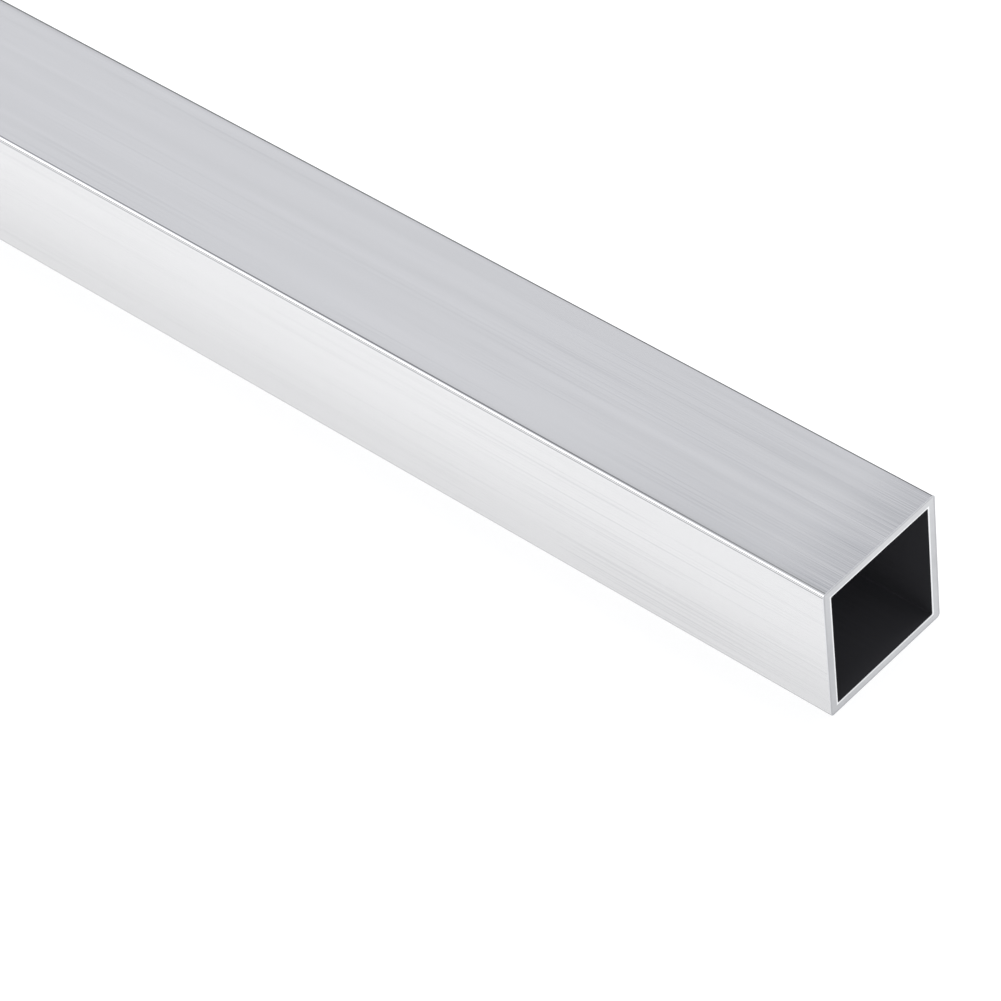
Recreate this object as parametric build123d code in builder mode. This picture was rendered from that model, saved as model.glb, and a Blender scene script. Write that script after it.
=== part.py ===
from build123d import *

import os

# Square aluminium tube: an extruded hollow section with flat walls, sawn to a stock length.
# It is one piece of metal. It lies along X with both sawn ends square to its length, and it rests
# on its flat underside. +Z is up, the origin is the middle of the underside, and all sizes are in
# millimetres.

# Cut length, from one sawn end to the other
tube_length = 500.0

# Section of the extrusion, the same in width and in height
outside_width = 30.0
wall_thickness = 2.0
outside_corner_radius = 0.8
inside_corner_radius = 0.3

# Sharp edges taken off both sawn ends by deburring, round the outside and round the bore
outside_edge_break = 0.25
inside_edge_break = 0.2

bore_width = outside_width - 2 * wall_thickness

# The section is drawn on the left-hand sawn end, centred on the axis of the tube
left_end_plane = Plane(
    origin=(-tube_length / 2, 0, outside_width / 2),
    x_dir=(0, 1, 0),
    z_dir=(1, 0, 0),
)

with BuildPart() as square_tube:
    # Four flat walls and four rounded corners, drawn as one hollow outline and pushed to length
    with BuildSketch(left_end_plane):
        RectangleRounded(outside_width, outside_width, outside_corner_radius)
        RectangleRounded(bore_width, bore_width, inside_corner_radius, mode=Mode.SUBTRACT)
    extrude(amount=tube_length)

    # On each sawn end, the outer rim and the rim of the bore lose their sharp edge
    sawn_ends = square_tube.faces().filter_by(Axis.X)
    outer_rims = [edge for face in sawn_ends for edge in face.outer_wire().edges()]
    bore_rims = [edge for face in sawn_ends for wire in face.inner_wires() for edge in wire.edges()]
    chamfer(outer_rims, outside_edge_break)
    chamfer(bore_rims, inside_edge_break)

square_tube.part.label = "square_tube"

os.makedirs("parts", exist_ok=True)
export_step(square_tube.part, "parts/square_tube.step")
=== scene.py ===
"""Looks of a square aluminium tube: mill-finish walls, sawn ends and a dark bore, in a plain studio.

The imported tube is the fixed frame. One closed mesh, finer than the frame's own, stands in its place
and carries a finish for each kind of surface. Lengths are in metres and angles in degrees. +X runs
along the tube, +Z is up, and the floor is the plane that the tube lies on.
"""

import logging
import math
from dataclasses import dataclass
from enum import Enum

import bpy
import numpy as np
from mathutils import Matrix, Vector


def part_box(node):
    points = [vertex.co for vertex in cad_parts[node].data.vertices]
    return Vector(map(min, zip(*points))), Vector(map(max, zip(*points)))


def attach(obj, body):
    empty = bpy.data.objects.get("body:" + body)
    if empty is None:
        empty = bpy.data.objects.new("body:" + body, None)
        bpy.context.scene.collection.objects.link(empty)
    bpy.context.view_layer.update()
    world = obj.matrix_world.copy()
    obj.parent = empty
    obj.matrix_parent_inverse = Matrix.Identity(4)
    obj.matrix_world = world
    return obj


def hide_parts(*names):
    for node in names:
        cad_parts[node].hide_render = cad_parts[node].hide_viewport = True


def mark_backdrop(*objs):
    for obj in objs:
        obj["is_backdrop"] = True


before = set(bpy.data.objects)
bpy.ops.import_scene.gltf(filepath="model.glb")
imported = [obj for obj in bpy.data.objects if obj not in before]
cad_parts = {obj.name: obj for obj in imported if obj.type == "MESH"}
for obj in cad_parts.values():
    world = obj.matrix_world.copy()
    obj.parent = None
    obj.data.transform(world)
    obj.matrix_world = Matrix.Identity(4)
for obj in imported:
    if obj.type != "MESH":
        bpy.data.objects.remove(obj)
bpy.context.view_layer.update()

log = logging.getLogger("square_tube")

MM = 0.001
MICRON = 0.000001
# Noise stays between these two values nearly everywhere
NOISE_LOW, NOISE_HIGH = 0.3, 0.7
# Octaves of finer noise on top of a pattern, where its own piece doesn't say otherwise
OCTAVES = 2.0


def linear(hex_colour: str) -> tuple[float, float, float, float]:
    """Turn an sRGB hex colour into the linear colour that a shader socket takes.

    Args:
        hex_colour: Colour as "#RRGGBB".

    Returns:
        Linear red, green and blue, and an alpha of 1.
    """
    parts = [int(hex_colour[i:i + 2], 16) / 255 for i in (1, 3, 5)]
    red, green, blue = (p / 12.92 if p <= 0.04045 else ((p + 0.055) / 1.055) ** 2.4 for p in parts)
    return red, green, blue, 1.0


def add(tree: bpy.types.NodeTree, kind: str, settings: dict | None = None,
        links: dict | None = None) -> bpy.types.Node:
    """Add one shader node, give it its settings and link its inputs.

    Args:
        tree: Node tree that the node goes into.
        kind: The node's type without its "ShaderNode" prefix, such as "TexNoise".
        settings: Values by property name, or by the name or number of an input socket.
        links: Output sockets by the name or number of the input socket that each one feeds.

    Returns:
        The new node.
    """
    node = tree.nodes.new("ShaderNode" + kind)
    for key, value in (settings or {}).items():
        if isinstance(key, str) and hasattr(node, key):
            setattr(node, key, value)
        else:
            node.inputs[key].default_value = value
    for key, source in (links or {}).items():
        tree.links.new(source, node.inputs[key])
    return node


def blank_material(name: str) -> bpy.types.Material:
    """Make a material with an empty node tree.

    Args:
        name: Name of the material.

    Returns:
        The material.
    """
    material = bpy.data.materials.new(name)
    material.use_nodes = True
    material.node_tree.nodes.clear()
    return material


@dataclass(frozen=True)
class Streaks:
    """Pattern of marks that are drawn out along the tube, as the die and handling draw them."""

    # Distance from one mark to the next, and the length over which a mark comes and goes
    width: float
    length: float
    # Offset into the noise, so that two patterns don't coincide
    shift: float = 0.0
    # Octaves of finer noise on top, and how much each has of the strength of the one before
    octaves: float = OCTAVES
    fineness: float = 0.55
    # Noise at which a mark begins and at which it is full
    begins: float = 0.0
    full: float = 1.0

    def noise(self, tree: bpy.types.NodeTree, place: bpy.types.NodeSocket) -> bpy.types.NodeSocket:
        """Draw the pattern as it comes.

        Args:
            tree: Node tree of the material.
            place: Position on the object.

        Returns:
            The pattern, from 0 to 1 round a middle of 0.5.
        """
        stretch = (1 / self.length, 1 / self.width, 1 / self.width)
        drawn_out = add(tree, "VectorMath", {"operation": "MULTIPLY_ADD", 1: stretch, 2: (self.shift,) * 3},
                        {0: place}).outputs[0]
        return add(tree, "TexNoise", {"Scale": 1.0, "Detail": self.octaves, "Roughness": self.fineness},
                   {"Vector": drawn_out}).outputs[0]

    def marks(self, tree: bpy.types.NodeTree, place: bpy.types.NodeSocket) -> bpy.types.NodeSocket:
        """Draw the pattern as separate marks.

        Args:
            tree: Node tree of the material.
            place: Position on the object.

        Returns:
            The marks, from 0 beside them to 1 where they are full.
        """
        return add(tree, "MapRange", {"From Min": self.begins, "From Max": self.full},
                   {"Value": self.noise(tree, place)}).outputs[0]


class Surface(Enum):
    """Kind of surface on the tube. The value is its place in the mesh's list of materials."""

    OUTSIDE = 0
    SAWN_END = 1
    DEBURRED_EDGE = 2
    BORE = 3


@dataclass(frozen=True)
class MillFinishAluminium:
    """Outside walls: aluminium as it leaves the extrusion die, neither brushed nor anodised.

    The die leaves hair-fine lines along the length, so the metal mirrors its surroundings in a soft
    band across them. Handling adds greyer streaks, mostly near the ends, and rubs the corners smooth.
    """

    half_length: float
    half_width: float
    axis_height: float
    corner_radius: float
    name: str = "mill_finish_extruded_aluminium"
    metal: str = "#E0E0E1"
    streak: str = "#BFC0C3"
    roughness: float = 0.24
    roughness_spread: float = 0.06
    across_the_lines: float = 0.7
    # Corners are rubbed by the die and by handling: smoother than the flats, and brighter, partly from
    # burnishing and partly as a painted highlight on their reflection
    corner_metal_and_highlight: str = "#F4F4F6"
    corner_roughness: float = 0.09
    corner_blend: float = 0.1 * MM
    # A die line is 0.05 to 0.1 mm wide, too fine to show, so it is drawn at 0.25 mm
    die_lines: Streaks = Streaks(0.25 * MM, 30 * MM, octaves=3.0)
    line_depth: float = 0.5 * MICRON
    # The die also leaves bands a few millimetres wide along the whole length
    bands: Streaks = Streaks(3.5 * MM, 160 * MM, shift=2.3)
    band_strength: float = 0.05
    # Scratches are straight and hair-fine, and come in patches about as large as a thumb
    scratches: Streaks = Streaks(0.22 * MM, 90 * MM, shift=3.7, octaves=0.0, begins=0.54, full=0.70)
    patches: Streaks = Streaks(6 * MM, 38 * MM, shift=26.6, begins=0.40, full=0.54)
    scratched_length: float = 110 * MM
    most_scratched: float = 30 * MM
    scratch_strength: float = 0.36
    # Share of the scratches that is left along the middle of the tube
    scratches_in_middle: float = 0.35
    # Share that is left at the very end, where deburring has cleaned the metal
    scratches_by_edge: float = 0.50
    deburred_length: float = 24 * MM
    # Hands leave dull streaks near the ends
    handling: Streaks = Streaks(2.5 * MM, 80 * MM, shift=14.8, begins=0.35, full=0.67)
    handled_length: float = 75 * MM
    most_handled: float = 15 * MM
    handled_strength: float = 0.26
    # Clamping and sawing rub fine dark lines into the last stretch
    rubbing: Streaks = Streaks(0.24 * MM, 40 * MM, shift=1.9, begins=0.36, full=0.68)
    rubbed_length: float = 15 * MM
    rubbed_strength: float = 0.85
    # Wear of the front and the back, as a share of that on the top and the underside
    wear_of_sides: float = 0.08
    # A fine dark score beside each corner: partly the line where two parts of the die meet, partly painted
    # shade that darkens the edges' reflection
    score_and_shade: str = "#858688"
    score_and_shade_width: float = 0.19 * MM
    score_and_shade_past_flat: float = 0.13 * MM

    def near_ends(self, tree: bpy.types.NodeTree, place: bpy.types.NodeSocket, reach: float,
                  whole: float = 0.0, away: float = 0.0, beside: float = 1.0) -> bpy.types.NodeSocket:
        """Mask the stretches beside both ends.

        Args:
            tree: Node tree of the material.
            place: Position on the object.
            reach: Length of each stretch.
            whole: Distance from the end at which the mask reaches its value there.
            away: Value of the mask past the reach.
            beside: Value of the mask near the end.

        Returns:
            The mask.
        """
        along = add(tree, "SeparateXYZ", links={0: place}).outputs["X"]
        from_middle = add(tree, "Math", {"operation": "ABSOLUTE"}, {0: along}).outputs[0]
        return add(tree, "MapRange", {
            "interpolation_type": "SMOOTHSTEP", "From Min": self.half_length - reach,
            "From Max": self.half_length - whole, "To Min": away, "To Max": beside
        }, {"Value": from_middle}).outputs[0]

    def past_flat(self, tree: bpy.types.NodeTree, place: bpy.types.NodeSocket) -> bpy.types.NodeSocket:
        """Measure how far a point lies past the end of its flat, round the section.

        Args:
            tree: Node tree of the material.
            place: Position on the object.

        Returns:
            The distance, below 0 on the flats and above 0 on the corners.
        """
        centred = add(tree, "VectorMath", {"operation": "SUBTRACT", 1: (0.0, 0.0, self.axis_height)},
                      {0: place}).outputs[0]
        reach = add(tree, "SeparateXYZ", links={0: add(tree, "VectorMath", {"operation": "ABSOLUTE"},
                                                       {0: centred}).outputs[0]})
        nearer = add(tree, "Math", {"operation": "MINIMUM"},
                     {0: reach.outputs["Y"], 1: reach.outputs["Z"]}).outputs[0]
        return add(tree, "Math", {"operation": "SUBTRACT", 1: self.half_width - self.corner_radius},
                   {0: nearer}).outputs[0]

    def greying(self, tree: bpy.types.NodeTree, texture: bpy.types.Node,
                bands: bpy.types.NodeSocket) -> bpy.types.NodeSocket:
        """Add up the marks that grey the metal: die bands, scratches, and wear near the ends.

        Args:
            tree: Node tree of the material.
            texture: Texture coordinates of the object.
            bands: Broad pattern of the die.

        Returns:
            Share of the streak colour, from 0 to 1.
        """
        place = texture.outputs["Object"]
        total = add(tree, "Math", {"operation": "MULTIPLY", 1: self.band_strength}, {0: bands}).outputs[0]
        upright = add(tree, "SeparateXYZ", links={0: texture.outputs["Normal"]}).outputs["Z"]
        upright = add(tree, "Math", {"operation": "ABSOLUTE"}, {0: upright}).outputs[0]
        exposed = add(tree, "MapRange", {"To Min": self.wear_of_sides}, {"Value": upright}).outputs[0]
        scratched = add(tree, "Math", {"operation": "MULTIPLY"}, {
            0: self.near_ends(tree, place, self.scratched_length, self.most_scratched,
                              away=self.scratches_in_middle),
            1: self.near_ends(tree, place, self.deburred_length, away=1.0,
                              beside=self.scratches_by_edge)}).outputs[0]
        handled = self.near_ends(tree, place, self.handled_length, self.most_handled)
        rubbed = self.near_ends(tree, place, self.rubbed_length)
        layers = (
            (self.scratches, self.patches.marks(tree, place), scratched, self.scratch_strength),
            (self.handling, exposed, handled, self.handled_strength),
            (self.rubbing, exposed, rubbed, self.rubbed_strength))
        for pattern, where, near, strength in layers:
            masked = add(tree, "Math", {"operation": "MULTIPLY"},
                         {0: pattern.marks(tree, place), 1: where}).outputs[0]
            masked = add(tree, "Math", {"operation": "MULTIPLY"}, {0: masked, 1: near}).outputs[0]
            total = add(tree, "Math", {"operation": "MULTIPLY_ADD", 1: strength},
                        {0: masked, 2: total}).outputs[0]
        return total

    def material(self) -> bpy.types.Material:
        """Build the finish.

        Returns:
            The material, for the outside of the tube.
        """
        material = blank_material(self.name)
        tree = material.node_tree
        texture = add(tree, "TexCoord")
        place = texture.outputs["Object"]
        bands = self.bands.noise(tree, place)
        past_flat = self.past_flat(tree, place)
        off_score_and_shade = add(tree, "Math", {"operation": "SUBTRACT", 1: self.score_and_shade_past_flat},
                        {0: past_flat}).outputs[0]
        off_score_and_shade = add(tree, "Math", {"operation": "ABSOLUTE"}, {0: off_score_and_shade}).outputs[0]
        score_and_shade_mask = add(tree, "MapRange", {"interpolation_type": "SMOOTHSTEP", "From Min": self.score_and_shade_width,
                                        "From Max": 0.0}, {"Value": off_score_and_shade}).outputs[0]
        colour = add(tree, "Mix", {"data_type": "RGBA", 6: linear(self.metal), 7: linear(self.streak)},
                     {0: self.greying(tree, texture, bands)}).outputs[2]
        corner = add(tree, "MapRange", {"interpolation_type": "SMOOTHSTEP", "From Min": -self.corner_blend,
                                        "From Max": self.corner_blend}, {"Value": past_flat}).outputs[0]
        # Painted highlight on the corners, then the die score with its painted shade beside them
        for shade, where in ((self.corner_metal_and_highlight, corner), (self.score_and_shade, score_and_shade_mask)):
            colour = add(tree, "Mix", {"data_type": "RGBA", 7: linear(shade)},
                         {0: where, 6: colour}).outputs[2]
        flat_rough = add(tree, "MapRange", {
            "From Min": NOISE_LOW, "From Max": NOISE_HIGH,
            "To Min": self.roughness - self.roughness_spread / 2,
            "To Max": self.roughness + self.roughness_spread / 2}, {"Value": bands}).outputs[0]
        rough = add(tree, "Mix", {"data_type": "FLOAT", 3: self.corner_roughness},
                    {0: corner, 2: flat_rough}).outputs[0]
        bump = add(tree, "Bump", {"Strength": 1.0, "Distance": self.line_depth},
                   {"Height": self.die_lines.noise(tree, place)}).outputs[0]
        # Lines along the tube spread a reflection round it, so the tangent runs round the X axis
        round_the_tube = add(tree, "Tangent", {"direction_type": "RADIAL", "axis": "X"}).outputs[0]
        shader = add(tree, "BsdfPrincipled", {"Metallic": 1.0, "Anisotropic": self.across_the_lines}, {
            "Base Color": colour, "Roughness": rough, "Normal": bump, "Tangent": round_the_tube})
        add(tree, "OutputMaterial", links={"Surface": shader.outputs[0]})
        return material


@dataclass(frozen=True)
class SawnAluminium:
    """End faces: aluminium cut with a fine circular saw, which leaves shallow arcs across the walls.

    A painted highlight runs along the edge of the bore, and painted shade along the outside edge.
    """

    bore_half_width: float
    half_width: float
    axis_height: float
    name: str = "saw_cut_aluminium"
    metal: str = "#CECFD1"
    # Darker colour for the painted shade towards the lower front, then the painted highlight by the bore and
    # the painted shade by the outside edge
    painted_shade: str = "#B6B7BA"
    painted_highlight_rim: str = "#F0F1F2"
    painted_shade_rim: str = "#B4B5B8"
    roughness: float = 0.42
    roughness_spread: float = 0.10
    # The saw bites unevenly from one spot to the next
    spot: float = 1.5 * MM
    # How far each rim reaches from its edge, and how much of that it takes to blend into the wall
    painted_highlight_rim_width: float = 0.42 * MM
    painted_highlight_rim_blend: float = 0.168 * MM
    painted_shade_rim_width: float = 0.63 * MM
    painted_shade_rim_blend: float = 0.42 * MM
    # Painted shade: the end faces are mixed towards a darker colour towards the lower front corner. This is
    # the share of that colour gained across the section, by depth and by height, and the share in the
    # middle.
    painted_shade_slope: tuple[float, float, float] = (0.0, -0.18, -0.21)
    painted_shade_middle: float = 0.39
    # Painted shade: the upright walls get more of the darker colour than the level ones
    painted_shade_uprights: float = 0.34
    # Teeth leave a mark each 0.1 mm or so, drawn at 0.35 mm so that it shows
    mark_pitch: float = 0.35 * MM
    mark_depth: float = 1.5 * MICRON
    blade_centre: tuple[float, float, float] = (0.0, -0.06, -0.12)

    def material(self) -> bpy.types.Material:
        """Build the finish.

        Returns:
            The material, for both end faces.
        """
        material = blank_material(self.name)
        tree = material.node_tree
        place = add(tree, "TexCoord").outputs["Object"]
        flat = add(tree, "VectorMath", {"operation": "MULTIPLY", 1: (0.0, 1.0, 1.0)},
                   {0: place}).outputs[0]
        reach = add(tree, "VectorMath", {"operation": "DISTANCE", 1: self.blade_centre},
                    {0: flat}).outputs["Value"]
        uneven = add(tree, "TexNoise", {"Scale": 1 / self.spot, "Detail": OCTAVES},
                     {"Vector": place}).outputs[0]
        phase = add(tree, "Math", {"operation": "MULTIPLY_ADD", 1: 2 * math.pi / self.mark_pitch},
                    {0: reach, 2: uneven}).outputs[0]
        marks = add(tree, "Math", {"operation": "SINE"}, {0: phase}).outputs[0]
        bump = add(tree, "Bump", {"Strength": 1.0, "Distance": self.mark_depth},
                   {"Height": marks}).outputs[0]
        rough = add(tree, "MapRange", {
            "From Min": NOISE_LOW, "From Max": NOISE_HIGH,
            "To Min": self.roughness - self.roughness_spread / 2,
            "To Max": self.roughness + self.roughness_spread / 2}, {"Value": uneven}).outputs[0]
        centred = add(tree, "VectorMath", {"operation": "SUBTRACT", 1: (0.0, 0.0, self.axis_height)},
                      {0: place}).outputs[0]
        sides = add(tree, "SeparateXYZ", links={0: add(tree, "VectorMath", {"operation": "ABSOLUTE"},
                                                       {0: centred}).outputs[0]})
        out = add(tree, "Math", {"operation": "MAXIMUM"},
                  {0: sides.outputs["Y"], 1: sides.outputs["Z"]}).outputs[0]
        painted_highlight_reach = self.bore_half_width + self.painted_highlight_rim_width
        painted_shade_rim_reach = self.half_width - self.painted_shade_rim_width
        by_bore = add(tree, "MapRange", {
            "interpolation_type": "SMOOTHSTEP", "From Min": painted_highlight_reach,
            "From Max": painted_highlight_reach - self.painted_highlight_rim_blend}, {"Value": out}).outputs[0]
        by_outside = add(tree, "MapRange", {
            "interpolation_type": "SMOOTHSTEP", "From Min": painted_shade_rim_reach,
            "From Max": painted_shade_rim_reach + self.painted_shade_rim_blend}, {"Value": out}).outputs[0]
        per_metre = Vector(self.painted_shade_slope) / (2 * self.half_width)
        painted_shade = add(tree, "VectorMath", {"operation": "DOT_PRODUCT", 1: per_metre},
                   {0: centred}).outputs["Value"]
        upright = add(tree, "Math", {"operation": "SUBTRACT"},
                      {0: sides.outputs["Y"], 1: sides.outputs["Z"]}).outputs[0]
        painted_shade = add(tree, "Math", {"operation": "MULTIPLY_ADD", 1: self.painted_shade_uprights / self.half_width},
                   {0: upright, 2: painted_shade}).outputs[0]
        painted_shade = add(tree, "Math", {"operation": "ADD", "use_clamp": True, 1: self.painted_shade_middle},
                   {0: painted_shade}).outputs[0]
        # Painted shade towards the lower front and on the upright walls, painted shade along the outside
        # edge, painted highlight along the bore
        colour = add(tree, "Mix", {"data_type": "RGBA", 6: linear(self.metal), 7: linear(self.painted_shade)},
                     {0: painted_shade}).outputs[2]
        colour = add(tree, "Mix", {"data_type": "RGBA", 7: linear(self.painted_shade_rim)},
                     {0: by_outside, 6: colour}).outputs[2]
        colour = add(tree, "Mix", {"data_type": "RGBA", 7: linear(self.painted_highlight_rim)},
                     {0: by_bore, 6: colour}).outputs[2]
        shader = add(tree, "BsdfPrincipled", {"Metallic": 1.0},
                     {"Base Color": colour, "Roughness": rough, "Normal": bump})
        add(tree, "OutputMaterial", links={"Surface": shader.outputs[0]})
        return material


@dataclass(frozen=True)
class DeburredAluminium:
    """Broken edges: aluminium scraped with a hand deburring tool, a little brighter than the saw cut."""

    name: str = "scraped_aluminium_edge"
    metal: str = "#DADBDE"
    roughness: float = 0.40
    roughness_spread: float = 0.16
    # The scraper chatters along the edge, one mark in about a millimetre
    chatter: float = 0.8 * MM

    def material(self) -> bpy.types.Material:
        """Build the finish.

        Returns:
            The material, for the edges round both ends.
        """
        material = blank_material(self.name)
        tree = material.node_tree
        place = add(tree, "TexCoord").outputs["Object"]
        chatter = add(tree, "TexNoise", {"Scale": 1 / self.chatter, "Detail": OCTAVES},
                      {"Vector": place}).outputs[0]
        rough = add(tree, "MapRange", {
            "From Min": NOISE_LOW, "From Max": NOISE_HIGH,
            "To Min": self.roughness - self.roughness_spread / 2,
            "To Max": self.roughness + self.roughness_spread / 2}, {"Value": chatter}).outputs[0]
        shader = add(tree, "BsdfPrincipled", {"Metallic": 1.0, "Base Color": linear(self.metal)},
                     {"Roughness": rough})
        add(tree, "OutputMaterial", links={"Surface": shader.outputs[0]})
        return material


@dataclass(frozen=True)
class PaintedShadeBore:
    """Bore: aluminium painted dark and dull, as painted shade for the inside of the tube.

    The painted shade is darkest at the mouths, where it holds back the light that comes in there.
    """

    half_length: float
    name: str = "shade_painted_aluminium_bore"
    # Dark colours painted as shade for the inside of the tube
    bore_shade: str = "#59595E"
    lighter_bore_shade: str = "#6D6D72"
    mouth_shade: str = "#363639"
    mouth_depth: float = 36 * MM
    roughness: float = 0.6
    # The dark, dull bore mirrors much less than the usual 0.5
    specular_level: float = 0.15
    # The painted shade is drawn out into lighter and darker lines about half a millimetre apart
    bore_shade_streaks: Streaks = Streaks(0.6 * MM, 40 * MM)

    def material(self) -> bpy.types.Material:
        """Build the finish.

        Returns:
            The material, for the inside walls.
        """
        material = blank_material(self.name)
        tree = material.node_tree
        place = add(tree, "TexCoord").outputs["Object"]
        colour = add(tree, "Mix", {"data_type": "RGBA", 6: linear(self.bore_shade), 7: linear(self.lighter_bore_shade)},
                     {0: self.bore_shade_streaks.noise(tree, place)}).outputs[2]
        along = add(tree, "SeparateXYZ", links={0: place}).outputs["X"]
        from_middle = add(tree, "Math", {"operation": "ABSOLUTE"}, {0: along}).outputs[0]
        at_mouth = add(tree, "MapRange", {"From Min": self.half_length - self.mouth_depth,
                                          "From Max": self.half_length}, {"Value": from_middle}).outputs[0]
        # Painted shade, darker still towards each mouth
        colour = add(tree, "Mix", {"data_type": "RGBA", 7: linear(self.mouth_shade)},
                     {0: at_mouth, 6: colour}).outputs[2]
        shader = add(tree, "BsdfPrincipled", {
            "Roughness": self.roughness, "Specular IOR Level": self.specular_level}, {"Base Color": colour})
        add(tree, "OutputMaterial", links={"Surface": shader.outputs[0]})
        return material


@dataclass(frozen=True)
class DieRelief:
    """Shallow waves that the die presses into the flats along the whole length, a few microns deep."""

    seed: int = 11
    waves: int = 6
    shortest: float = 2.8 * MM
    longest: float = 11 * MM
    # Share by which a wave on one flat is longer or shorter than on the next
    spread: float = 0.15
    # Slope of one wave in degrees, which decides how far it bends a reflection
    slope: float = 0.085
    # Share of a flat's half width over which the waves die out beside the corners
    fade: float = 0.30

    def depths(self, across: np.ndarray, reach: float) -> np.ndarray:
        """Work out the depth across the four flats.

        Args:
            across: Distance from the middle of the flat, one row for each of the four sides.
            reach: Half the width of a flat. The waves die out towards it.

        Returns:
            Depth below the nominal face, never negative, in the same rows.
        """
        rng = np.random.default_rng(self.seed)
        sides = (len(across), 1)
        depth = np.zeros_like(across)
        for length in np.geomspace(self.shortest, self.longest, self.waves):
            own = length * rng.uniform(1 - self.spread, 1 + self.spread, sides)
            phase = rng.uniform(0, 2 * math.pi, sides)
            height = math.radians(self.slope) * own / (2 * math.pi)
            depth += height * (1 + np.sin(2 * math.pi * across / own + phase))
        near = np.clip((reach - np.abs(across)) / (self.fade * reach), 0, 1)
        return depth * near * near * (3 - 2 * near)


@dataclass(frozen=True)
class BakeSheet:
    """Layout of the tube's surfaces on one square sheet, as a map for textures.

    The eight long walls lie as strips across the sheet, and the walls of both end faces fill two rows
    above them. Sizes are in pixels of a sheet of the stated width.
    """

    sheet: int = 1024
    margin: int = 4
    gap: int = 6
    outside_strip: int = 196
    bore_strip: int = 26
    end_strip: int = 28

    def place(self, surface: Surface, right_end: bool, side: int, along: np.ndarray,
              across: np.ndarray) -> np.ndarray:
        """Place points of one side of one surface on the sheet.

        Args:
            surface: Kind of surface. Deburred edges go with the end face that they border.
            right_end: True for the end at +X. It tells the two end faces apart.
            side: Side of the section, from 0 to 3.
            along: Share of the way along the strip's long direction, or over the wall of an end face.
            across: Share of the way round this side of the section.

        Returns:
            Rows of u and v, from 0 to 1.
        """
        width = self.sheet - 2 * self.margin
        outside_rows = 4 * (self.outside_strip + self.gap)
        bore_rows = 4 * (self.bore_strip + self.gap)
        if surface is Surface.OUTSIDE:
            u = self.margin + along * width
            v = self.margin + side * (self.outside_strip + self.gap) + across * self.outside_strip
        elif surface is Surface.BORE:
            u = self.margin + along * width
            v = self.margin + outside_rows + side * (self.bore_strip + self.gap) + across * self.bore_strip
        else:
            cell = (width - 3 * self.gap) / 4
            u = self.margin + side * (cell + self.gap) + across * cell
            v = (self.margin + outside_rows + bore_rows + right_end * (self.end_strip + self.gap)
                 + along * self.end_strip)
        return np.stack([u, v], -1) / self.sheet


@dataclass
class Ring:
    """One ring of points round the section, with what lies between it and the next ring."""

    points: np.ndarray
    normals: np.ndarray
    surface: Surface


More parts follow.
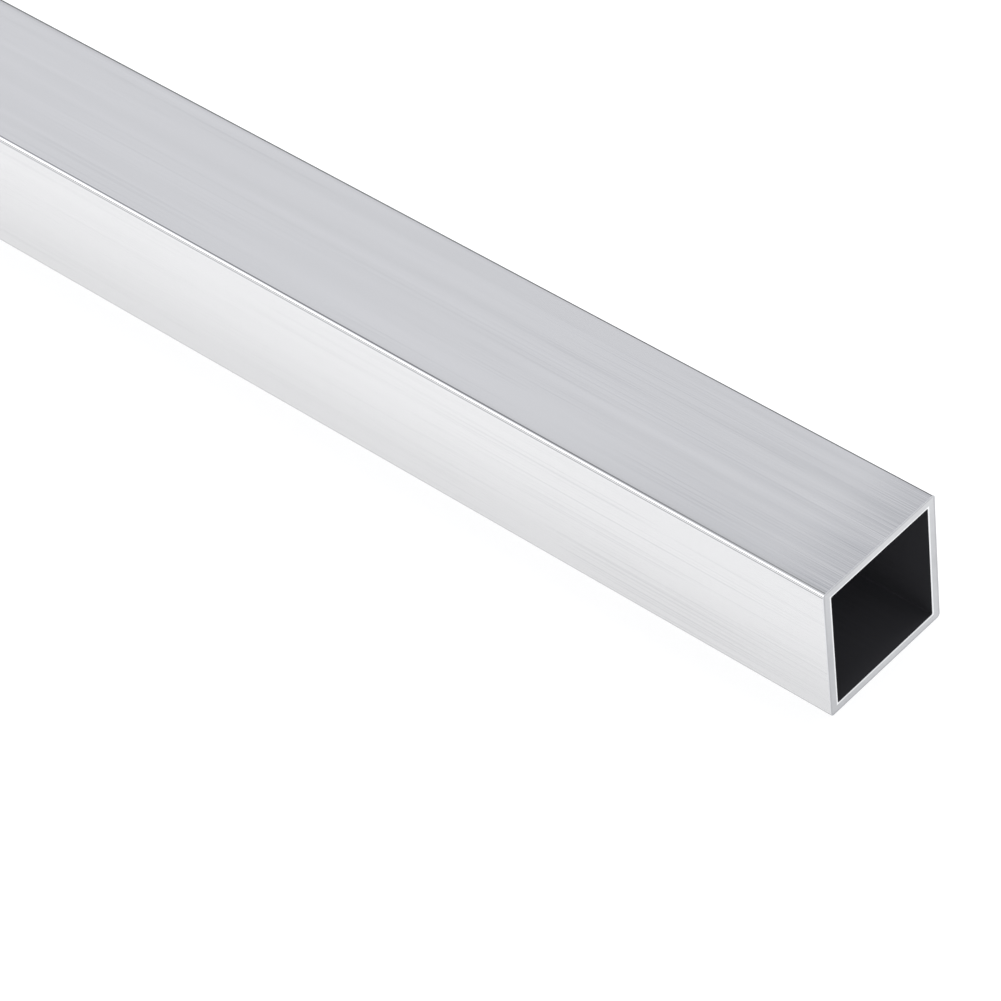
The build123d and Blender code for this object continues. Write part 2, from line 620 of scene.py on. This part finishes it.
@dataclass
class SquareTube:
    """The tube: one closed mesh, made of rings of points that run round the section.

    The rings go along the outside from the left end to the right, over the right-hand end face, back
    along the bore and over the left-hand end face to where they began.
    """

    low: Vector
    high: Vector
    wall: float = 2.0 * MM
    outside_radius: float = 0.8 * MM
    inside_radius: float = 0.3 * MM
    # Edges are broken to a hair's breadth here, as in the photograph, inside the limits of the solid
    outside_break: float = 0.10 * MM
    inside_break: float = 0.08 * MM
    # A flat runs into its corner softly: over this width it comes to lean by this many degrees
    run_in: float = 1.5 * MM
    run_in_lean: float = 7.0
    # Share by which hand deburring makes a broken edge narrower here and there, and how many times
    # round the section each of its waves goes
    break_unevenness: float = 0.25
    break_waves: tuple[int, ...] = (3, 5, 8, 13, 21)
    flat_steps: int = 96
    corner_steps: int = 10
    outside_stations: int = 48
    bore_stations: int = 16
    end_steps: int = 5
    break_steps: int = 3
    deburring_seed: int = 5

    @property
    def end(self) -> float:
        """Distance from the middle of the tube to either end face."""
        return (self.high.x - self.low.x) / 2

    @property
    def half_width(self) -> float:
        """Half the outside width."""
        return (self.high.y - self.low.y) / 2

    @property
    def axis_height(self) -> float:
        """Height of the tube's axis above the floor."""
        return (self.high.z + self.low.z) / 2

    @property
    def side_points(self) -> int:
        """Points on one flat and the corner after it."""
        return self.flat_steps + self.corner_steps

    def profile(self, half: float, radius: float) -> tuple[np.ndarray, np.ndarray]:
        """Points and outward normals round a rounded square centred on the tube's axis.

        Args:
            half: Half the width of the square.
            radius: Radius of its corners.

        Returns:
            Two arrays of (y, z) rows, counter-clockwise from the lower end of the rear face.
        """
        reach = half - radius
        along = np.linspace(-reach, reach, self.flat_steps + 1)
        turn = np.linspace(0, math.pi / 2, self.corner_steps + 1)[1:-1]
        side = np.concatenate([
            np.stack([np.full_like(along, half), along], 1),
            np.stack([reach + radius * np.cos(turn), reach + radius * np.sin(turn)], 1)])
        most = math.radians(self.run_in_lean)
        into_corner = np.clip(1 - (reach - np.abs(along)) / self.run_in, 0, 1)
        lean = np.concatenate([most * np.sign(along) * into_corner ** 2,
                               most + turn * (1 - 4 * most / math.pi)])
        facing = np.stack([np.cos(lean), np.sin(lean)], 1)
        points, normals = [], []
        for quarter in range(4):
            cos, sin = round(math.cos(quarter * math.pi / 2)), round(math.sin(quarter * math.pi / 2))
            spin = np.array([[cos, sin], [-sin, cos]])
            points.append(side @ spin)
            normals.append(facing @ spin)
        return np.concatenate(points), np.concatenate(normals)

    def relief(self) -> np.ndarray:
        """Depth of the die's waves at each point of the outside profile.

        Returns:
            One depth for each point, in the order of the profile.
        """
        reach = self.half_width - self.outside_radius
        across = np.tile(np.linspace(-reach, reach, self.flat_steps + 1), (4, 1))
        flats = DieRelief().depths(across, reach)
        return np.concatenate([np.pad(row, (0, self.corner_steps - 1)) for row in flats])

    def unevenness(self) -> np.ndarray:
        """How much of its full width the broken edge has at each point round the section.

        Returns:
            One factor for each point, at most 1.
        """
        rng = np.random.default_rng(self.deburring_seed)
        turn = np.linspace(0, 2 * math.pi, 4 * self.side_points, endpoint=False)
        wave = sum(np.sin(count * turn + rng.uniform(0, 2 * math.pi)) for count in self.break_waves)
        wave = (wave - wave.min()) / (wave.max() - wave.min())
        return 1 - self.break_unevenness * wave

    def ring(self, x: float | np.ndarray, section: np.ndarray, facing: np.ndarray, lean: float,
             surface: Surface) -> Ring:
        """Make one ring.

        Args:
            x: Place along the tube, one value or one for each point.
            section: Points of the ring as (y, z) rows.
            facing: Normals of the section as (y, z) rows.
            lean: Angle in radians from the section's outward normal towards the ring's own end.
            surface: Kind of surface between this ring and the next.

        Returns:
            The ring.
        """
        x = np.broadcast_to(x, len(section))
        points = np.column_stack([x, section[:, 0], section[:, 1] + self.axis_height])
        normals = np.column_stack([np.sign(x) * math.sin(lean), facing * math.cos(lean)])
        return Ring(points, normals / np.linalg.norm(normals, axis=1)[:, None], surface)

    def rings(self) -> list[Ring]:
        """Make all the rings, in order round the wall's own outline.

        Returns:
            The rings. The last one borders the first.
        """
        outer, facing = self.profile(self.half_width, self.outside_radius)
        bore, _ = self.profile(self.half_width - self.wall, self.inside_radius)
        depth = self.relief()
        spacing = np.linalg.norm(np.roll(outer, -1, 0) - np.roll(outer, 1, 0), axis=1)
        slope = (np.roll(depth, -1) - np.roll(depth, 1)) / spacing
        onwards = np.stack([-facing[:, 1], facing[:, 0]], 1)
        outside_break = self.outside_break * self.unevenness()
        inside_break = self.inside_break * self.unevenness()[::-1]
        outer_edge = outer - facing * outside_break[:, None]
        bore_edge = bore + facing * inside_break[:, None]
        turns = np.linspace(0, math.pi / 2, self.break_steps + 1)
        made = []

        def outer_break(sign: int, angles: np.ndarray) -> None:
            """Add the rings of one outside edge.

            Args:
                sign: 1 for the right-hand end, -1 for the left-hand one.
                angles: Turn of each ring from the outside towards the end face.
            """
            for angle in angles:
                inset = outside_break * (1 - math.cos(angle)) + depth * math.cos(angle)
                x = sign * (self.end - outside_break * (1 - math.sin(angle)))
                tilted = facing + onwards * (slope * math.cos(angle))[:, None]
                made.append(self.ring(x, outer - facing * inset[:, None], tilted, angle,
                                      Surface.DEBURRED_EDGE))

        def inner_break(sign: int, angles: np.ndarray) -> None:
            """Add the rings of one edge of the bore.

            Args:
                sign: 1 for the right-hand end, -1 for the left-hand one.
                angles: Turn of each ring from the bore towards the end face.
            """
            for angle in angles:
                inset = inside_break * (1 - math.cos(angle))
                x = sign * (self.end - inside_break * (1 - math.sin(angle)))
                made.append(self.ring(x, bore + facing * inset[:, None], facing, math.pi - angle,
                                      Surface.DEBURRED_EDGE))

        def end_face(sign: int, shares: np.ndarray) -> None:
            """Add the rings of one end face.

            Args:
                sign: 1 for the right-hand end, -1 for the left-hand one.
                shares: Place of each ring as a share of the way from the outside to the bore.
            """
            for share in shares:
                made.append(self.ring(sign * self.end, outer_edge + (bore_edge - outer_edge) * share, facing,
                                      math.pi / 2, Surface.SAWN_END))

        def long_wall(section: np.ndarray, normals: np.ndarray, lean: float, short: np.ndarray, sign: int,
                      count: int, surface: Surface) -> None:
            """Add the rings of the outside or the bore, from one end towards the other.

            Args:
                section: Points of a ring as (y, z) rows.
                normals: Normals of a ring as (y, z) rows.
                lean: 0 for the outside, pi for the bore, which faces inwards.
                short: How far each point stops short of the end faces.
                sign: 1 to run from left to right, -1 to run back.
                count: Number of rings.
                surface: Kind of surface.
            """
            for share in np.linspace(-1, 1, count + 1)[:-1]:
                made.append(self.ring(sign * share * (self.end - short), section, normals, lean, surface))

        face = np.linspace(0, 1, self.end_steps + 1)
        long_wall(outer - facing * depth[:, None], facing + onwards * slope[:, None], 0.0, outside_break, 1,
                  self.outside_stations, Surface.OUTSIDE)
        outer_break(1, turns[:-1])
        end_face(1, face[:-1])
        inner_break(1, turns[::-1][:-1])
        long_wall(bore, facing, math.pi, inside_break, -1, self.bore_stations, Surface.BORE)
        inner_break(-1, turns[:-1])
        end_face(-1, face[::-1][:-1])
        outer_break(-1, turns[::-1][:-1])
        return made

    def bake_layout(self, rings: list[Ring]) -> np.ndarray:
        """Lay the faces out on the bake sheet.

        Args:
            rings: The rings of the mesh.

        Returns:
            Rows of u and v, four for each face, in the order of the mesh's faces.
        """
        sheet = BakeSheet()
        outline = np.array([ring.points[0] for ring in rings] + [rings[0].points[0]])
        run = np.concatenate([[0.0], np.cumsum(np.linalg.norm(np.diff(outline, axis=0), axis=1))])
        group = [(ring.surface if ring.surface in (Surface.OUTSIDE, Surface.BORE) else Surface.SAWN_END,
                  bool(ring.points[0][0] > 0) and ring.surface is not Surface.BORE) for ring in rings]
        starts = [i for i in range(len(rings)) if i == 0 or group[i][0] is not group[i - 1][0]]
        ends = starts[1:] + [len(rings)]
        loop = 4 * self.side_points
        # A side runs from the middle of one corner to the middle of the next
        half_corner = self.corner_steps // 2
        step = np.arange(loop)
        side = ((step + half_corner) // self.side_points) % 4
        arc = np.concatenate([np.full(self.flat_steps, 2 * (self.half_width - self.outside_radius)
                                      / self.flat_steps),
                              np.full(self.corner_steps, self.outside_radius * math.pi / 2
                                      / self.corner_steps)])
        travelled = np.concatenate([[0.0], np.cumsum(np.roll(arc, half_corner))])
        before = (step + half_corner) % self.side_points
        across = np.stack([travelled[before], travelled[before + 1]], -1) / travelled[-1]
        layout = []
        for first, last in zip(starts, ends):
            for ring in range(first, last):
                near = (run[ring] - run[first]) / (run[last] - run[first])
                far = (run[ring + 1] - run[first]) / (run[last] - run[first])
                corners = [(near, 0), (near, 1), (far, 1), (far, 0)]
                row = np.empty((loop, 4, 2))
                for number in range(4):
                    chosen = side == number
                    row[chosen] = np.stack([sheet.place(*group[first], number, np.full(chosen.sum(), along),
                                                        across[chosen][:, which])
                                            for along, which in corners], 1)
                layout.append(row)
        return np.concatenate(layout).reshape(-1, 2)

    def build(self) -> bpy.types.Object:
        """Build the tube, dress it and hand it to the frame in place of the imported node.

        Returns:
            The finished object.
        """
        rings = self.rings()
        count, loop = len(rings), len(rings[0].points)
        ring, step = np.divmod(np.arange(count * loop), loop)
        following, after = (ring + 1) % count, (step + 1) % loop
        faces = np.stack([ring * loop + step, ring * loop + after,
                          following * loop + after, following * loop + step], 1)
        mesh = bpy.data.meshes.new("aluminium_square_tube")
        mesh.from_pydata(np.concatenate([r.points for r in rings]).tolist(), [], faces.tolist())
        mesh.polygons.foreach_set("material_index", np.repeat([r.surface.value for r in rings], loop))
        mesh.polygons.foreach_set("use_smooth", np.ones(len(faces), bool))
        bake = mesh.uv_layers.new(name="OFBake")
        bake.uv.foreach_set("vector", self.bake_layout(rings).ravel())
        mesh.update()
        mesh.normals_split_custom_set_from_vertices(np.concatenate([r.normals for r in rings]).tolist())
        tube = bpy.data.objects.new("aluminium_square_tube", mesh)
        bpy.context.scene.collection.objects.link(tube)
        outside = MillFinishAluminium(self.end, self.half_width, self.axis_height, self.outside_radius)
        sawn = SawnAluminium(self.half_width - self.wall, self.half_width, self.axis_height)
        for finish in (outside, sawn, DeburredAluminium(), PaintedShadeBore(self.end)):
            mesh.materials.append(finish.material())
        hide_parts("square_tube")
        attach(tube, "root")
        log.info("%s: %d faces, %d rings of %d points", tube.name, len(faces), count, loop)
        return tube


@dataclass(frozen=True)
class Softbox:
    """Rectangular soft lamp that points at the middle of the tube."""

    name: str
    place: tuple[float, float, float]
    size: tuple[float, float]
    watts: float
    # False for a lamp that is flagged off the metal, so that only the floor catches its light
    mirrored: bool = True

    def hang(self) -> bpy.types.Object:
        """Put the lamp in the scene.

        Returns:
            The lamp.
        """
        data = bpy.data.lights.new(self.name, "AREA")
        data.shape = "RECTANGLE"
        data.size, data.size_y = self.size
        data.energy = self.watts
        lamp = bpy.data.objects.new(self.name, data)
        lamp.location = self.place
        lamp.rotation_mode = "QUATERNION"
        lamp.rotation_quaternion = (-Vector(self.place)).to_track_quat("-Z", "Y")
        lamp.visible_glossy = self.mirrored
        bpy.context.scene.collection.objects.link(lamp)
        return lamp


@dataclass
class Studio:
    """Plain studio: a white floor, soft lamps before and behind, and a pale surround with two flags."""

    floor_radius: float = 20.0
    floor_sides: int = 72
    # White paper, lit from below too where it is seen, so that only a faint shadow is left on it
    floor_paper: str = "#F2F2F2"
    floor_glow: float = 1.22
    glow_share: float = 0.60
    # The lamp behind casts the tube's soft shadow forwards, where the front face mirrors it
    lamps: tuple[Softbox, ...] = (
        Softbox("key_softbox", (-0.95, -1.13, 0.86), (1.5, 0.84), 4.3),
        Softbox("back_softbox", (0.2, 0.45, 1.35), (0.4, 0.5), 9.0, mirrored=False))
    # Shade of the surround by the sine of its height: a white horizon for the background, and above it
    # the grey and the pale bands that the metal mirrors
    surround: tuple[tuple[float, str], ...] = (
        (0.0, "#FFFFFF"), (0.116, "#FFFFFF"), (0.180, "#C4C5C8"), (0.456, "#C4C5C8"),
        (0.520, "#F2F3F7"), (0.734, "#F2F3F7"), (0.782, "#E3E4E8"), (0.804, "#C4C5C8"),
        (0.852, "#C4C5C8"), (0.882, "#FDFEFF"), (1.0, "#FDFEFF"))
    # Two dark flags before and behind the tube, both to the left, that draw its long edges. Their middle
    # and half sizes are in the parts x and z of a direction, as are the soft edges round them.
    flag: str = "#333336"
    flag_middle: tuple[float, float] = (-0.55, 0.275)
    flag_half_size: tuple[float, float] = (0.12, 0.125)
    flag_edge: tuple[float, float] = (0.09, 0.035)

    def floor(self) -> bpy.types.Object:
        """Lay the floor, level with the underside of the tube.

        Returns:
            Nothing, as mark_backdrop gives nothing back. The floor is marked as stage.
        """
        turns = [2 * math.pi * side / self.floor_sides for side in range(self.floor_sides)]
        rim = [(self.floor_radius * math.cos(turn), self.floor_radius * math.sin(turn), 0.0)
               for turn in turns]
        mesh = bpy.data.meshes.new("studio_floor")
        mesh.from_pydata(rim, [], [tuple(range(len(rim)))])
        floor = bpy.data.objects.new("studio_floor", mesh)
        bpy.context.scene.collection.objects.link(floor)
        material = blank_material("white_paper_floor")
        tree = material.node_tree
        path = add(tree, "LightPath")
        seen = add(tree, "Math", {"operation": "MAXIMUM"}, {
            0: path.outputs["Is Camera Ray"], 1: path.outputs["Is Glossy Ray"]}).outputs[0]
        seen = add(tree, "Math", {"operation": "MAXIMUM"}, {
            0: seen, 1: path.outputs["Is Transmission Ray"]}).outputs[0]
        share = add(tree, "Math", {"operation": "MULTIPLY", 1: self.glow_share}, {0: seen}).outputs[0]
        paper = add(tree, "BsdfDiffuse", {"Color": linear(self.floor_paper)})
        glow = add(tree, "Emission", {"Color": (1, 1, 1, 1), "Strength": self.floor_glow})
        both = add(tree, "MixShader", links={0: share, 1: paper.outputs[0], 2: glow.outputs[0]})
        add(tree, "OutputMaterial", links={"Surface": both.outputs[0]})
        mesh.materials.append(material)
        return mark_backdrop(floor)

    def lights(self) -> None:
        """Hang the lamps and light the surround."""
        for lamp in self.lamps:
            lamp.hang()
        world = bpy.data.worlds.new("studio_surround")
        world.use_nodes = True
        tree = world.node_tree
        tree.nodes.clear()
        direction = add(tree, "SeparateXYZ", links={0: add(tree, "TexCoord").outputs["Generated"]})
        ramp = add(tree, "ValToRGB", links={0: direction.outputs["Z"]})
        while len(ramp.color_ramp.elements) < len(self.surround):
            ramp.color_ramp.elements.new(0.5)
        for element, (position, shade) in zip(ramp.color_ramp.elements, self.surround):
            element.position = position
            element.color = linear(shade)
        inside = []
        for axis, middle, half, edge in zip("XZ", self.flag_middle, self.flag_half_size, self.flag_edge):
            off = add(tree, "Math", {"operation": "SUBTRACT", 1: middle},
                      {0: direction.outputs[axis]}).outputs[0]
            off = add(tree, "Math", {"operation": "ABSOLUTE"}, {0: off}).outputs[0]
            inside.append(add(tree, "MapRange", {"interpolation_type": "SMOOTHSTEP", "From Min": half + edge,
                                                 "From Max": half}, {"Value": off}).outputs[0])
        flagged = add(tree, "Math", {"operation": "MULTIPLY"}, {0: inside[0], 1: inside[1]}).outputs[0]
        shade = add(tree, "Mix", {"data_type": "RGBA", 7: linear(self.flag)},
                    {0: flagged, 6: ramp.outputs[0]}).outputs[2]
        background = add(tree, "Background", links={"Color": shade})
        add(tree, "OutputWorld", links={"Surface": background.outputs[0]})
        bpy.context.scene.world = world


@dataclass(frozen=True)
class PhotoCamera:
    """Camera that sees the tube as the photograph does. Angles and lens come from its edges."""

    azimuth: float = 47.51
    elevation: float = 44.59
    roll: float = -7.83
    distance: float = 788.1 * MM
    lens_mm: float = 164.38
    # The point on the lens's axis, from the middle of the lower edge of the right-hand end face
    aim: tuple[float, float, float] = (-61.2 * MM, -28.0 * MM, 26.6 * MM)

    def place(self, end: Vector) -> bpy.types.Object:
        """Put the camera in the scene.

        Args:
            end: Middle of the lower edge of the right-hand end face.

        Returns:
            The camera.
        """
        azimuth, elevation = math.radians(self.azimuth), math.radians(self.elevation)
        back = Vector((math.sin(azimuth) * math.cos(elevation),
                       -math.cos(azimuth) * math.cos(elevation), math.sin(elevation)))
        right = Vector((0, 0, 1)).cross(back).normalized()
        turn = Matrix.Rotation(math.radians(self.roll), 3, back)
        right, up = turn @ right, turn @ back.cross(right)
        data = bpy.data.cameras.new("photo_camera")
        data.lens = self.lens_mm
        camera = bpy.data.objects.new("photo_camera", data)
        camera.matrix_world = Matrix.Translation(end + Vector(self.aim) + back * self.distance) @ Matrix(
            (right, up, back)).transposed().to_4x4()
        bpy.context.scene.collection.objects.link(camera)
        bpy.context.scene.camera = camera
        return camera


def main() -> None:
    """Build the tube and its studio."""
    logging.basicConfig(level=logging.INFO, format="%(name)s: %(message)s")
    bpy.context.scene.view_settings.view_transform = "Standard"
    low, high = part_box("square_tube")
    PhotoCamera().place(Vector((high.x, 0.0, low.z)))
    SquareTube(low, high).build()
    studio = Studio()
    studio.floor()
    studio.lights()


if __name__ == "__main__":
    main()
